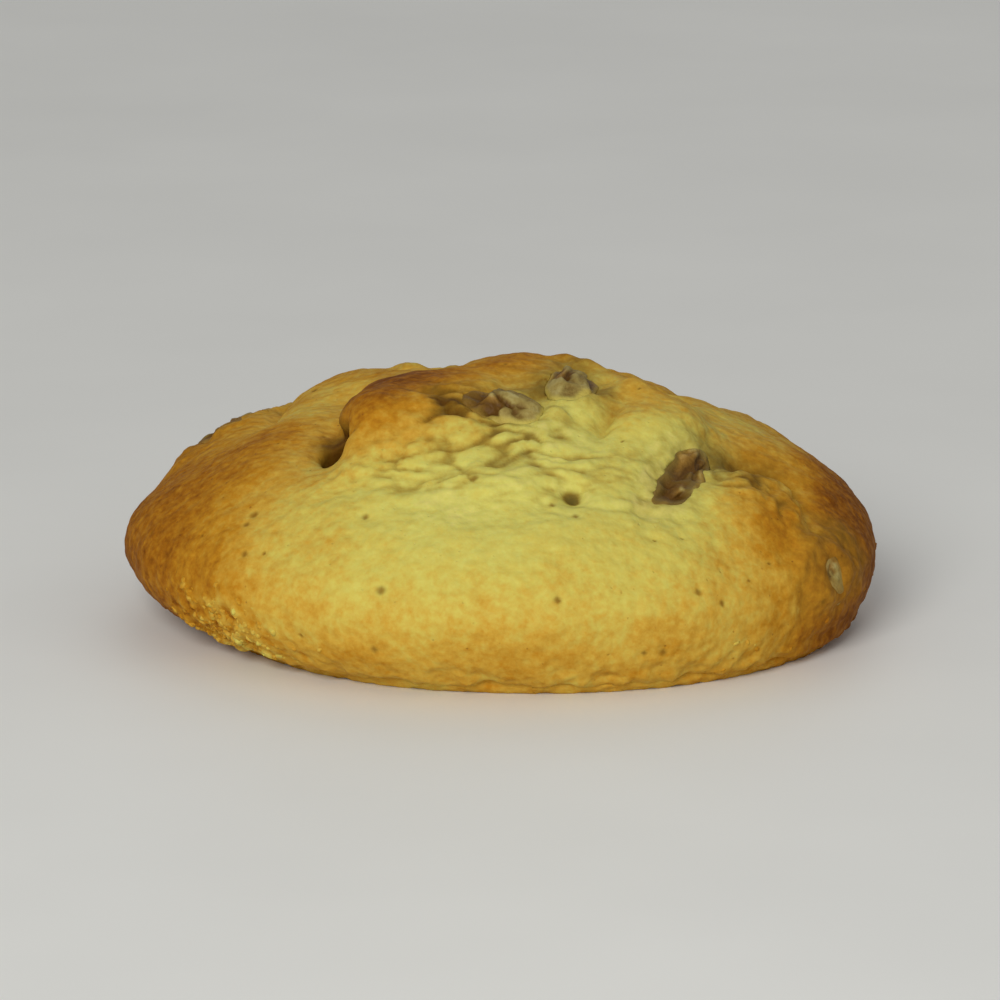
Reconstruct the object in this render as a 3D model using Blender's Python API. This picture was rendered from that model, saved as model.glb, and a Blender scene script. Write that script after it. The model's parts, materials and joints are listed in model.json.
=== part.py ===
"""A raisin cookie: a plump drop cookie of soft shortcrust dough with raisins baked into it.

The dough is one solid, and each raisin that shows is another, seated in its own pocket. Metres, +Z up.
The origin is under the middle of the cookie, on the flat foot it was baked on. X runs along the longest
side, and -Y is the front.
"""

import itertools
import math

import bmesh
import bpy
import numpy as np
from mathutils import Matrix, Vector

MM = 0.001

# Driving sizes of the dough
COOKIE_LENGTH = 50.0 * MM
COOKIE_WIDTH = 47.6 * MM
DOME_TOP = 16.2 * MM
DOME_ROUNDNESS = 0.64
WAIST_HEIGHT = 5.3 * MM
NOTCH_HEIGHT = 0.8 * MM
NOTCH_SHARE = 0.02

# The foot's radius as a share of the rim's: on average, how much more at its fullest, and in which direction
FOOT_SHARE = 0.83
FOOT_FULLER = 0.08
FOOT_FULLEST = -32

# The outline's uneven roundness: waves round the rim, share of the radius, and direction of the first crest
OUTLINE_WAVES = ((1, 0.008, -35), (2, 0.015, -32), (3, 0.007, -33), (5, 0.005, -36), (7, 0.003, 140))

# Where the foot, the notch above it, the undercut side and the dome meet, from 0 below to 1 on top
FOOT_ENDS = 0.24
NOTCH_ENDS = 0.27
WAIST_AT = 0.39
DOME_SPREAD = 0.8
DOUGH_CUTS = 24

# Rounded lumps and dents in millimetres: place in plan, reach, rise off the skin, and steepness of the flanks
LUMPS = (
    (-5.6, -5.2, 6.1, 1.3, 3.0),
    (-8.2, -6.8, 3.0, 0.8, 3.0),
    (10.3, -5.6, 4.4, 1.2, 3.0),
    (1.6, 0.8, 4.4, 1.5, 2.0),
    (2.0, -19.0, 9.0, 0.4, 2.0),
    (-17.5, -1.0, 6.0, -0.4, 2.0),
    (20.5, -2.0, 4.0, 0.6, 2.0),
    (17.8, -11.8, 4.0, 0.7, 2.5),
    (-9.5, 12.5, 5.0, 0.8, 2.5),
    (6.5, 14.0, 5.5, 0.9, 2.5),
    (-1.0, 20.5, 4.5, 0.5, 2.0),
    (18.0, 9.5, 4.0, 0.5, 2.0),
    (-20.0, 8.0, 4.5, 0.4, 2.0),
)

# Folds where the soft dough sank between lumps, in millimetres: route in plan, width to the left and to the
# right of it, and depth, which is below 0 for a ridge
FOLDS = (
    (((-11.0, -7.9), (-11.6, -6.0), (-11.2, -3.2), (-9.4, 1.5)), (3.0, 1.0), 1.3),
    (((9.4, -15.6), (11.0, -12.4), (12.8, -8.6), (14.4, -5.6), (14.2, -2.0)), (1.2, 2.6), 0.5),
    (((13.8, -9.4), (17.0, -7.3), (19.4, -7.6), (20.5, -10.8)), (2.2, 1.1), 0.6),
    (((4.6, 2.4), (7.0, 0.6), (8.6, -2.4)), (1.3, 1.0), -0.7),
    (((-10.8, -14.2), (-6.0, -14.2), (-2.6, -12.8), (1.0, -13.4), (4.0, -12.2)), (1.3, 1.3), 0.35),
    (((-8.5, -16.6), (-4.0, -16.8), (0.0, -18.0), (5.0, -16.8)), (1.5, 1.5), 0.35),
    (((6.0, -10.4), (7.0, -7.6), (8.2, -5.2)), (1.2, 1.2), 0.5),
    (((-4.5, 5.0), (-2.5, 9.5), (1.0, 13.0)), (1.2, 2.4), 0.9),
    (((8.5, 5.0), (12.5, 8.0), (14.5, 14.0)), (1.2, 2.0), 0.6),
    (((-16.0, 3.0), (-15.0, 8.0), (-12.5, 14.5)), (1.5, 1.5), 0.5),
)

# Pits where a bubble broke, in millimetres: place in plan, reach and depth
PITS = (
    (-11.1, -7.4, 1.2, 1.3),
    (4.8, -15.8, 0.9, 0.6),
    (12.0, 2.5, 1.0, 0.6),
    (-6.5, 10.0, 1.1, 0.9),
)

# Undulation of the skin: size across in millimetres, height in millimetres, and seed
SKIN_NOISE = ((7.0, 0.30, 0), (2.6, 0.10, 1))

# Ragged crumb above the foot's edge, fading out above the notch by this many times its height
EDGE_NOISE = (2.2, 0.55, 11)
EDGE_FADES_FROM = 1.4
EDGE_FADES_BY = 3.5

# The foot's middle is baked up clear of the sheet, deepest out to this share of the hollow's radius
HOLLOW_RADIUS = 12.5 * MM
HOLLOW_DEPTH = 0.7 * MM
HOLLOW_FLOOR = 0.25
HOLLOW_NOISE = (3.0, 0.35, 12)

# Raisins: name, direction round the cookie, share of the way up the skin, length, width and thickness,
# heading of the length, and how far they stand out of the skin, with lengths in millimetres
RAISINS = (
    ("raisin_front", -46, 0.668, (9.2, 3.9, 4.0), 75, 0.5),
    ("raisin_top", -91, 0.851, (7.0, 4.4, 4.4), -20, 0.9),
    ("raisin_crest", -38, 0.886, (7.0, 3.6, 3.8), 88, 1.2),
    ("raisin_right", -31, 0.402, (7.2, 4.8, 3.8), 66, 0.0),
    ("raisin_back_left", 150, 0.575, (9.4, 5.0, 4.2), 35, 0.25),
    ("raisin_back", 101, 0.705, (7.6, 4.2, 3.8), 12, 0.3),
    ("raisin_back_right", 42, 0.520, (8.0, 5.8, 4.4), 84, 0.35),
    ("raisin_under", 146, 0.100, (8.4, 6.4, 4.0), 30, 0.2),
)
RAISIN_SEGMENTS = 18
RAISIN_RINGS = 12
FIRST_RAISIN_SEED = 20

# Furrows: depth as a share of the radius, size across, how much longer, and the noise they start at
FURROW_DEPTH = 0.16
FURROW_SIZE = 2.1 * MM
FURROW_STRETCH = 2.5
FURROW_STARTS = 0.45

# Pockets round the raisins
POCKET_GAP = 0.3 * MM
POCKET_SEGMENTS = 18
POCKET_RINGS = 10

# Colours and roughness
DOUGH_COLOUR = (0.56, 0.36, 0.11, 1.0)
DOUGH_ROUGHNESS = 0.6
RAISIN_COLOUR = (0.07, 0.03, 0.018, 1.0)
RAISIN_ROUGHNESS = 0.45


def clear_scene():
    for existing in list(bpy.data.objects):
        bpy.data.objects.remove(existing)


def collection_named(name):
    made = bpy.data.collections.new(name)
    bpy.context.scene.collection.children.link(made)
    return made


def material_named(name, colour, roughness):
    made = bpy.data.materials.new(name)
    made.use_nodes = True
    shader = made.node_tree.nodes["Principled BSDF"]
    shader.inputs["Base Color"].default_value = colour
    shader.inputs["Roughness"].default_value = roughness
    shader.inputs["Metallic"].default_value = 0.0
    return made


def smooth_step(low, high, value):
    share = np.clip((value - low) / (high - low), 0, 1)
    return share * share * (3 - 2 * share)


def gradient_noise(points, size, seed):
    """Smooth noise from about -1 to 1 at each point, with bumps about `size` across."""
    draw = np.random.default_rng(seed)
    slopes = draw.normal(size=(256, 3))
    slopes /= np.linalg.norm(slopes, axis=1)[:, None]
    shuffle = draw.permutation(256)
    cell = points / size
    corner = np.floor(cell).astype(int)
    inside = cell - corner
    ease = inside**3 * (inside * (6 * inside - 15) + 10)
    total = np.zeros(len(points))
    for step in itertools.product((0, 1), repeat=3):
        x, y, z = ((corner + step) & 255).T
        slope = slopes[shuffle[(shuffle[(shuffle[x] + y) & 255] + z) & 255]]
        weight = np.prod(np.where(step, ease, 1 - ease), axis=1)
        total += weight * np.sum(slope * (inside - step), axis=1)
    return 1.7 * total


def outline(azimuth):
    """The rim's radius in each direction, as a share of a true oval's."""
    share = np.ones(np.shape(azimuth))
    for waves, height, crest in OUTLINE_WAVES:
        share = share + height * np.cos(waves * (azimuth - math.radians(crest)))
    return share


def dome_height(slope):
    """The dome's height, from the waist at a `slope` of 0, upright, to the top at 1, level."""
    eased = slope * (DOME_ROUNDNESS + (1 - DOME_ROUNDNESS) * slope)
    return WAIST_HEIGHT + (DOME_TOP - WAIST_HEIGHT) * eased


def profile(azimuth, rise):
    """Radius as a share of the rim's, and height, from the foot's centre at a `rise` of 0 to the top at 1."""
    foot_share = FOOT_SHARE + FOOT_FULLER * np.cos(azimuth - math.radians(FOOT_FULLEST))
    notch_share = foot_share + NOTCH_SHARE
    foot = rise / FOOT_ENDS
    notch = (rise - FOOT_ENDS) / (NOTCH_ENDS - FOOT_ENDS)
    turn = np.clip((rise - NOTCH_ENDS) / (WAIST_AT - NOTCH_ENDS), 0, 1) * math.pi / 2
    dome = np.clip((rise - WAIST_AT) / (1 - WAIST_AT), 0, 1) ** DOME_SPREAD * math.pi / 2
    stretches = (rise <= FOOT_ENDS, rise <= NOTCH_ENDS, rise <= WAIST_AT)
    radii = (
        foot_share * foot,
        foot_share + NOTCH_SHARE * notch,
        notch_share + (1 - notch_share) * np.sin(turn),
    )
    heights = (
        0 * rise,
        NOTCH_HEIGHT * notch,
        WAIST_HEIGHT - (WAIST_HEIGHT - NOTCH_HEIGHT) * np.cos(turn),
    )
    return np.select(stretches, radii, np.cos(dome)), np.select(stretches, heights, dome_height(np.sin(dome)))


def base_point(azimuth, rise):
    """A point of the plain cookie, before any relief."""
    radius, height = profile(azimuth, rise)
    reach = radius * outline(azimuth)
    along = reach * np.cos(azimuth) * COOKIE_LENGTH / 2
    across = reach * np.sin(azimuth) * COOKIE_WIDTH / 2
    return np.stack((along, across, height), axis=-1)


def base_normal(azimuth, rise):
    step = 0.002
    round_way = base_point(azimuth + step, rise) - base_point(azimuth - step, rise)
    upward = base_point(azimuth, rise + step) - base_point(azimuth, rise - step)
    normal = np.cross(round_way, upward)
    return normal / np.linalg.norm(normal)


def dome_point(x, y):
    """The point of the plain dome above a place in plan, given in millimetres."""
    along = x * MM / (COOKIE_LENGTH / 2)
    across = y * MM / (COOKIE_WIDTH / 2)
    radius = math.hypot(along, across) / float(outline(math.atan2(across, along)))
    return np.array((x * MM, y * MM, dome_height(math.sqrt(max(0.0, 1 - radius**2)))))


def beside_route(points, route):
    """Distance from each point to a line over the dome above the route, and its side, from right -1 to left 1."""
    corners = [dome_point(x, y) for x, y in route]
    nearest = np.full(len(points), np.inf)
    side = np.zeros(len(points))
    for start, end in itertools.pairwise(corners):
        run = end - start
        offset = points - start
        share = np.clip(offset @ run / (run @ run), 0, 1)
        away = np.linalg.norm(offset - share[:, None] * run, axis=1)
        leftward = (run[0] * offset[:, 1] - run[1] * offset[:, 0]) / math.hypot(run[0], run[1])
        closer = away < nearest
        nearest[closer] = away[closer]
        side[closer] = (leftward / np.maximum(away, MM / 1000))[closer]
    return nearest, side


def grooves(points, routes):
    """How deep the routes cut the skin at each point, in millimetres."""
    depth = np.zeros(len(points))
    for route, (left, right), deepest in routes:
        nearest, side = beside_route(points, route)
        width = right + (left - right) * smooth_step(-0.5, 0.5, side)
        depth += deepest * np.exp(-((nearest / (width * MM)) ** 2))
    return depth


def relief(points):
    """How far the baked skin stands out from the plain cookie at each point of it."""
    rise = -grooves(points, FOLDS)
    for x, y, reach, height, steepness in LUMPS:
        away = np.linalg.norm(points - dome_point(x, y), axis=1) / (reach * MM)
        rise += height * np.exp(-(away**steepness))
    for x, y, reach, depth in PITS:
        away = np.linalg.norm(points - dome_point(x, y), axis=1) / (reach * MM)
        rise -= depth * np.exp(-(away**2))
    for size, height, seed in SKIN_NOISE:
        rise += height * gradient_noise(points, size * MM, seed)
    return rise * MM * smooth_step(NOTCH_HEIGHT, WAIST_HEIGHT, points[:, 2])


def torn_edge(points):
    """Depth of the ragged crumb on the undercut side, just above the foot."""
    size, depth, seed = EDGE_NOISE
    notches_up = points[:, 2] / NOTCH_HEIGHT
    band = smooth_step(0.5, 1, notches_up) - smooth_step(EDGE_FADES_FROM, EDGE_FADES_BY, notches_up)
    return depth * MM * band * np.abs(gradient_noise(points, size * MM, seed))


def hollow_lift(points):
    """How far the middle of the foot stands clear of the sheet."""
    size, height, seed = HOLLOW_NOISE
    outward = np.hypot(points[:, 0], points[:, 1]) / HOLLOW_RADIUS
    crumb = np.abs(gradient_noise(points, size * MM, seed)) * height * MM
    return (1 - smooth_step(HOLLOW_FLOOR, 1, outward)) * (HOLLOW_DEPTH + crumb)


def set_points(mesh, points):
    mesh.vertices.foreach_set("co", points.astype(np.float32).ravel())
    mesh.update()


def get_points(mesh):
    flat = np.empty(len(mesh.vertices) * 3, np.float32)
    mesh.vertices.foreach_get("co", flat)
    return flat.reshape(-1, 3).astype(float)


def get_normals(mesh):
    flat = np.empty(len(mesh.vertices) * 3, np.float32)
    mesh.vertex_normals.foreach_get("vector", flat)
    return flat.reshape(-1, 3).astype(float)


def even_ball(name, cuts):
    """A ball of near-square faces: a cube's grid blown up to a sphere of radius 1."""
    grid = bmesh.new()
    bmesh.ops.create_cube(grid, size=2)
    bmesh.ops.subdivide_edges(grid, edges=grid.edges[:], cuts=cuts, use_grid_fill=True)
    mesh = bpy.data.meshes.new(name)
    grid.to_mesh(mesh)
    grid.free()
    spread = np.tan(get_points(mesh) * math.pi / 4)
    set_points(mesh, spread / np.linalg.norm(spread, axis=1)[:, None])
    return mesh


def add_object(collection, name, mesh, material=None):
    made = bpy.data.objects.new(name, mesh)
    collection.objects.link(made)
    if material:
        mesh.materials.append(material)
        mesh.shade_smooth()
    return made


def make_dough(parts, material):
    """The ball's points are carried to the plain cookie, then the skin and the foot get their relief."""
    mesh = even_ball("dough", DOUGH_CUTS)
    ball = get_points(mesh)
    azimuth = np.arctan2(ball[:, 1], ball[:, 0])
    rise = np.arccos(np.clip(-ball[:, 2], -1, 1)) / math.pi
    plain = base_point(azimuth, rise)
    set_points(mesh, plain)
    shaped = plain + get_normals(mesh) * (relief(plain) - torn_edge(plain))[:, None]
    on_foot = plain[:, 2] == 0
    shaped[on_foot] = plain[on_foot]
    shaped[on_foot, 2] = hollow_lift(plain[on_foot])
    set_points(mesh, shaped)
    return add_object(parts, "dough", mesh, material)


def skin_point(plain, normal, rise):
    """Where the relief carries a point of the plain cookie."""
    if rise < FOOT_ENDS:
        return plain - normal * hollow_lift(plain[None])[0]
    return plain + normal * relief(plain[None])[0]


def raisin_place(direction, rise, thickness, heading, stands_out):
    """The matrix that lays a raisin's length, width and thickness along X, Y and Z on the skin."""
    azimuth = math.radians(direction)
    normal = base_normal(azimuth, rise)
    centre = skin_point(base_point(azimuth, rise), normal, rise) + normal * (stands_out - thickness / 2) * MM
    turn = math.radians(heading)
    level = np.array((math.cos(turn), math.sin(turn), 0.0))
    length_way = level - normal * (level @ normal)
    length_way /= np.linalg.norm(length_way)
    axes = np.stack((length_way, np.cross(normal, length_way), normal), axis=1)
    return Matrix.Translation(Vector(centre)) @ Matrix(axes.tolist()).to_4x4()


def oval_mesh(name, size, segments, rings, grow=0.0):
    """An oval with its poles at the ends of its length, `grow` larger all round than its size."""
    shape = bmesh.new()
    bmesh.ops.create_uvsphere(shape, u_segments=segments, v_segments=rings, radius=1.0)
    bmesh.ops.rotate(shape, verts=shape.verts, matrix=Matrix.Rotation(math.pi / 2, 3, "Y"))
    bmesh.ops.scale(shape, verts=shape.verts, vec=Vector([value * MM / 2 + grow for value in size]))
    mesh = bpy.data.meshes.new(name)
    shape.to_mesh(mesh)
    shape.free()
    return mesh


def make_raisin(parts, material, name, size, place, seed):
    """A shrivelled oval: its furrows run lengthwise, and none of them swells past the plain oval."""
    mesh = oval_mesh(name, size, RAISIN_SEGMENTS, RAISIN_RINGS)
    points = get_points(mesh)
    stretched = points / np.array((FURROW_STRETCH, 1.0, 1.0))
    furrow = smooth_step(FURROW_STARTS, 1, 1 - np.abs(gradient_noise(stretched, FURROW_SIZE, seed)))
    set_points(mesh, points * (1 - FURROW_DEPTH * furrow)[:, None])
    raisin = add_object(parts, name, mesh, material)
    raisin.matrix_world = place
    return raisin


def make_pocket(cutters, name, size, place):
    mesh = oval_mesh(name, size, POCKET_SEGMENTS, POCKET_RINGS, POCKET_GAP)
    pocket = add_object(cutters, name, mesh)
    pocket.matrix_world = place
    pocket.hide_render = True
    pocket.display_type = "WIRE"
    return pocket


def cut_pockets(dough, cutters):
    cut = dough.modifiers.new("raisin_pockets", "BOOLEAN")
    cut.operation = "DIFFERENCE"
    cut.operand_type = "COLLECTION"
    cut.collection = cutters
    cut.solver = "EXACT"


def centre_in_plan(dough, others):
    """Moves everything so that the dough's box has its middle over the origin."""
    points = get_points(dough.data)
    middle = (points.min(axis=0) + points.max(axis=0)) / 2
    for moved in (dough, *others):
        moved.location.x -= middle[0]
        moved.location.y -= middle[1]


def main():
    clear_scene()
    parts = collection_named("raisin_cookie")
    cutters = collection_named("raisin_pockets")
    crust = material_named("baked_dough", DOUGH_COLOUR, DOUGH_ROUGHNESS)
    fruit = material_named("raisin_skin", RAISIN_COLOUR, RAISIN_ROUGHNESS)
    dough = make_dough(parts, crust)
    others = []
    for seed, (name, direction, rise, size, heading, stands_out) in enumerate(RAISINS, FIRST_RAISIN_SEED):
        place = raisin_place(direction, rise, size[2], heading, stands_out)
        others.append(make_raisin(parts, fruit, name, size, place, seed))
        others.append(make_pocket(cutters, name + "_pocket", size, place))
    cut_pockets(dough, cutters)
    centre_in_plan(dough, others)


main()
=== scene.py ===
"""The looks of the raisin cookie: a finer dough with a baked skin, raisins, crumbs, light and camera.

Lengths are in millimetres until a mesh is made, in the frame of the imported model. The dough's driving sizes
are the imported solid's own, so the finer dough lies where that solid does.
"""

import collections
import itertools
import json
import math

import bmesh
import bpy
import numpy as np
from mathutils import Matrix, Vector
from mathutils.kdtree import KDTree

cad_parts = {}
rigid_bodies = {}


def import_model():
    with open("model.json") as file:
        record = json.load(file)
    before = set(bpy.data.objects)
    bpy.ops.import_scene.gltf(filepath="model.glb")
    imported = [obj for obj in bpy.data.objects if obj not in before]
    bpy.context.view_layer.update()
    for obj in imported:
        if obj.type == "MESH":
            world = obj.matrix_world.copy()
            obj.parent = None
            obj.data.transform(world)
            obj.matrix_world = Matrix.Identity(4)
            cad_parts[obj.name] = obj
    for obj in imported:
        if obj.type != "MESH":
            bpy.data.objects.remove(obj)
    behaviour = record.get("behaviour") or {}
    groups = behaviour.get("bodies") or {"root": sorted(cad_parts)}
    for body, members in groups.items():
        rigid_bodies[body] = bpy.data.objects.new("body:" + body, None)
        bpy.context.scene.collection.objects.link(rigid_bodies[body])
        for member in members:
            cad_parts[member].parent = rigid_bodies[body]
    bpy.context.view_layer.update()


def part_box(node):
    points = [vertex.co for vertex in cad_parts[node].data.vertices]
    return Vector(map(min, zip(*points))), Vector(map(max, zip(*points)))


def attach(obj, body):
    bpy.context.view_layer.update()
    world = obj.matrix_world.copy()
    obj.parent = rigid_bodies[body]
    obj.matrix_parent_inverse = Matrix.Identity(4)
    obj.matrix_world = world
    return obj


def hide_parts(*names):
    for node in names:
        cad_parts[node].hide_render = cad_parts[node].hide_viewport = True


MM = 0.001

# Driving sizes of the dough
COOKIE_LENGTH = 50.0
COOKIE_WIDTH = 47.6
DOME_TOP = 16.2
DOME_ROUNDNESS = 0.64
WAIST_HEIGHT = 5.3
NOTCH_HEIGHT = 0.8
NOTCH_SHARE = 0.02
FOOT_SHARE = 0.83
FOOT_FULLER = 0.08
FOOT_FULLEST = -32
OUTLINE_WAVES = ((1, 0.008, -35), (2, 0.015, -32), (3, 0.007, -33), (5, 0.005, -36), (7, 0.003, 140))

# Where the foot, the notch above it, the undercut side and the dome meet, from 0 below to 1 on top
FOOT_ENDS = 0.24
NOTCH_ENDS = 0.27
WAIST_AT = 0.39
DOME_SPREAD = 0.8
DOUGH_CUTS = 121

# Rounded lumps and dents: place in plan, reach, rise off the skin, and steepness of the flanks
LUMPS = (
    (-5.6, -5.2, 6.1, 1.3, 3.0),
    (-8.2, -6.8, 3.0, 0.8, 3.0),
    (10.3, -5.6, 4.4, 1.2, 3.0),
    (1.6, 0.8, 4.4, 1.5, 2.0),
    (2.0, -19.0, 9.0, 0.4, 2.0),
    (-17.5, -1.0, 6.0, -0.4, 2.0),
    (20.5, -2.0, 4.0, 0.6, 2.0),
    (17.8, -11.8, 4.0, 0.7, 2.5),
    (-9.5, 12.5, 5.0, 0.8, 2.5),
    (6.5, 14.0, 5.5, 0.9, 2.5),
    (-1.0, 20.5, 4.5, 0.5, 2.0),
    (18.0, 9.5, 4.0, 0.5, 2.0),
    (-20.0, 8.0, 4.5, 0.4, 2.0),
)

# Folds where the soft dough sank between lumps: route in plan, width to the left and to the right of it,
# and depth, which is below 0 for a ridge
FOLDS = (
    (((-11.0, -7.9), (-11.6, -6.0), (-11.2, -3.2), (-9.4, 1.5)), (3.0, 1.0), 1.3),
    (((9.4, -15.6), (11.0, -12.4), (12.8, -8.6), (14.4, -5.6), (14.2, -2.0)), (1.2, 2.6), 0.5),
    (((13.8, -9.4), (17.0, -7.3), (19.4, -7.6), (20.5, -10.8)), (2.2, 1.1), 0.6),
    (((4.6, 2.4), (7.0, 0.6), (8.6, -2.4)), (1.3, 1.0), -0.7),
    (((-10.8, -14.2), (-6.0, -14.2), (-2.6, -12.8), (1.0, -13.4), (4.0, -12.2)), (1.3, 1.3), 0.35),
    (((-8.5, -16.6), (-4.0, -16.8), (0.0, -18.0), (5.0, -16.8)), (1.5, 1.5), 0.35),
    (((6.0, -10.4), (7.0, -7.6), (8.2, -5.2)), (1.2, 1.2), 0.5),
    (((-4.5, 5.0), (-2.5, 9.5), (1.0, 13.0)), (1.2, 2.4), 0.9),
    (((8.5, 5.0), (12.5, 8.0), (14.5, 14.0)), (1.2, 2.0), 0.6),
    (((-16.0, 3.0), (-15.0, 8.0), (-12.5, 14.5)), (1.5, 1.5), 0.5),
)

# Pits where a bubble broke: place in plan, reach and depth
PITS = (
    (-11.1, -7.4, 1.2, 1.3),
    (4.8, -15.8, 0.9, 0.6),
    (12.0, 2.5, 1.0, 0.6),
    (-6.5, 10.0, 1.1, 0.9),
)

# Undulation of the skin: size, height and seed of each noise
SKIN_NOISE = ((7.0, 0.30, 0), (2.6, 0.10, 1))

# Ragged crumb above the foot: its noise, and the heights between which it grows and fades, in notches
EDGE_NOISE = (2.2, 0.55, 11)
EDGE_GROWS = (0.5, 1)
EDGE_FADES = (1.4, 3.5)

# The foot's hollow: radius, depth, where its level floor ends, its noise, and small pits all over the foot
HOLLOW_RADIUS = 12.5
HOLLOW_DEPTH = 0.7
HOLLOW_FLOOR = 0.25
HOLLOW_NOISE = (3.0, 0.35, 12)
FOOT_GRAIN = (0.9, 0.12, 54)
FOOT_PITS = (1.6, 0.1, 55)
FOOT_PIT_EDGES = (0.3, 0.7)

# Finer creases: route in plan, width to the left and to the right, depth, and how far along it is deepest
CRACKS = (
    (((-10.9, -8.4), (-11.3, -6.8), (-11.5, -5.0), (-11.0, -2.2), (-9.6, 0.6)), (0.9, 0.4), 0.9, 0.3),
    (((-12.0, -8.4), (-10.6, -8.7), (-9.0, -8.4)), (0.4, 0.6), 0.35, 0.5),
    (((13.6, -9.4), (15.4, -8.0), (17.2, -7.3), (19.0, -7.4), (20.2, -9.0), (20.4, -12.0)),
     (0.9, 0.5), 0.5, 0.4),
    (((9.8, -15.8), (8.2, -16.6), (6.4, -17.2)), (0.5, 0.5), 0.3, 0.3),
    (((6.2, -10.0), (7.0, -7.6), (8.0, -5.6)), (0.5, 0.5), 0.5, 0.5),
    (((-1.6, -9.6), (-3.4, -7.6), (-4.2, -5.4)), (0.45, 0.45), 0.35, 0.4),
    (((-8.6, -12.4), (-6.4, -11.2), (-4.4, -9.0)), (0.4, 0.7), 0.4, 0.4),
    (((-7.0, -14.6), (-4.2, -14.1), (-1.8, -13.3)), (0.4, 0.7), 0.35, 0.5),
    (((-2.5, -11.2), (0.4, -11.8), (3.2, -11.0)), (0.45, 0.7), 0.35, 0.5),
    (((1.6, -14.9), (3.8, -15.6), (6.0, -14.9)), (0.45, 0.45), 0.3, 0.5),
    (((16.6, -11.2), (18.6, -9.6), (20.2, -10.4)), (0.5, 0.5), 0.4, 0.5),
    (((17.6, -9.6), (17.4, -11.6), (17.2, -13.8)), (0.5, 0.8), 0.3, 0.4),
    (((18.5, -10.2), (18.2, -12.2), (18.2, -14.4)), (0.5, 0.5), 0.3, 0.4),
    (((-4.2, 5.4), (-2.4, 9.4), (0.4, 12.4)), (0.5, 0.8), 0.8, 0.5),
    (((9.0, 5.4), (12.2, 8.0), (14.0, 12.4)), (0.5, 0.8), 0.6, 0.4),
    (((-15.8, 3.6), (-15.0, 8.0), (-13.0, 12.6)), (0.5, 0.5), 0.5, 0.5),
)

# The power by which a crease fades towards its ends, size and reach of its bends, and the seeds of every
# bend along X, Y and Z
CRACK_FADING = 0.6
CRACK_BEND = (1.9, 0.45)
SWAY_SEEDS = (71, 72, 73)

# Steep holes in the pits: place in plan, reach, depth, and how much browner and duller they are painted
# inside, as painted shade
HOLES = (
    (-11.0, -7.2, 0.9, 1.1, 0.4, 1.1),
    (4.8, -15.8, 0.5, 0.2, 0.1, 0.8),
    (-6.5, 10.0, 0.6, 0.7, 0.2, 0.8),
    (22.0, -12.7, 0.95, 0.75, 0.0, 0.3),
)

# How steep the flanks of the holes and of all other spots are
HOLE_STEEPNESS = 3.0
SPOT_STEEPNESS = 2.0

# Dull patches on the skin, some of them painted shade: place in plan, reach and amount
STAINS_AND_SHADE = (
    (15.0, -7.6, 2.2, 0.35),
    (17.8, -6.8, 2.6, 0.48),
    (16.0, -9.8, 1.8, 0.2),
    (-3.8, -5.6, 1.6, 0.2),
    # These four, round the crest raisin, are partly dull skin and partly painted shade
    (2.8, -4.8, 1.2, 0.4),
    (7.0, -4.0, 1.3, 0.35),
    (1.6, -3.0, 2.4, 0.35),
    (5.0, 1.0, 2.2, 0.35),
    (22.4, -9.0, 1.8, 0.35),
    # Painted shade on the wall of the fold beside the left lobe
    (-11.4, -5.6, 1.6, 0.7),
    (7.8, -6.4, 1.8, 0.25),
)

# How much duller and browner the skin is in wrinkles and in creases up to a depth, and how much duller
# and paler it is near raisins. In the creases this is painted shade; in the wrinkles it is partly browning,
# partly painted shade in the hollows and painted light on the crests
FURROW_PAINTED_SHADE = 2.6
FURROW_PAINTED_SHADE_FROM = 0.03
FURROW_PAINTED_SHADE_MOST = 0.3
FURROW_BROWNER_AND_SHADE = 0.35
FURROW_BROWNER_AND_SHADE_RANGE = (-0.25, 0.2)
CREASE_PAINTED_SHADE = 0.45
CREASE_PAINTED_BROWN_SHADE = 0.12
CREASE_DEEPEST = 0.8
RAISIN_STAIN = 0.3
RAISIN_PALER = 0.08

# Grain of the crust, crumb of the notch above the foot, and the depth, middle and spread of its fill
GRAIN_NOISE = ((1.3, 0.06, 2), (0.75, 0.05, 3))
EDGE_CRUMB = (0.8, 0.16, 5)
NOTCH_FILL = (0.3, 0.8, 0.6)

# Wrinkled places: place in plan, reach along X and Y, and how sharply they end
WRINKLED = ((-0.5, -12.5, 11.0, 5.0), (-3.0, -8.6, 5.0, 3.5), (17.5, -10.5, 4.0, 3.5), (3.0, 9.0, 8.0, 4.5))
WRINKLED_EDGE = 1.5

# Wrinkles: size, depth and seed of each noise, the level of it where they start, how much longer than
# wide they are, size and reach of their bends, and the share of the depth that lifts the skin back
WRINKLES = ((2.4, 0.21, 4), (1.4, 0.19, 8), (0.8, 0.09, 9))
WRINKLE_STARTS = 0.4
WRINKLE_STRETCH = 1.6
WRINKLE_BEND = (4.0, 1.4)
WRINKLE_LIFT = 0.4

# Small holes: how many at random, radius, depth, the least browning that they are drawn by, how many
# radii they reach, and the places and radii of those that the photo shows
PINHOLES = 80
PINHOLE_RADIUS = (0.14, 0.34)
PINHOLE_DEPTH = (0.06, 0.2)
PINHOLE_SEED = 31
PINHOLES_IN_PALE = 0.15
PINHOLE_REACH = 2.2
SHOWN_HOLES = (
    (-7.2, -21.0, 6.6, 0.42),
    (-16.3, -12.5, 10.3, 0.42),
    (-8.3, -22.5, 3.2, 0.36),
    (12.4, -19.5, 6.2, 0.34),
    (3.5, -22.3, 6.5, 0.34),
    (10.5, -21.5, 3.0, 0.36),
    (-1.6, -15.2, 13.2, 0.4),
)
SHOWN_HOLE_DEPTH = 0.16

# What the raisins and crumbs are fitted to: the finished skin, and how far it was moved in plan
Skin = collections.namedtuple("Skin", "points normals bake tree offset")

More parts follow.
